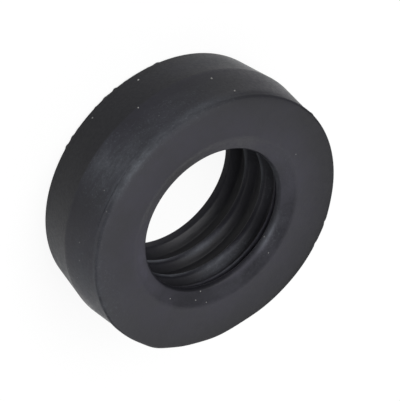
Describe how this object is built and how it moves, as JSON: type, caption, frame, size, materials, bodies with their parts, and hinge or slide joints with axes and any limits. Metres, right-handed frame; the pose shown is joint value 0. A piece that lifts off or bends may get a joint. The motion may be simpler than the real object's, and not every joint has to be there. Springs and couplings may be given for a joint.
{
  "type": "caulking gasket",
  "caption": "Thick moulded rubber ring with a ribbed bore and a shallow lead-in recess, pressed round a waste pipe to seal it in a hub.",
  "frame": {"origin": "on the ring's axis, in the plane of the flat rear face that it stands on", "axes": "+Z along the bore axis, from the rear face to the recessed front face that the pipe goes in at; X and Y lie across the ring"},
  "size_m": [0.1022, 0.1022, 0.0347],
  "materials": {
    "rubber": "matt moulded black rubber, slightly scuffed and dusty"
  },
  "bodies": {
    "root": {"gasket_ring": "rubber"}
  },
  "joints": []
}
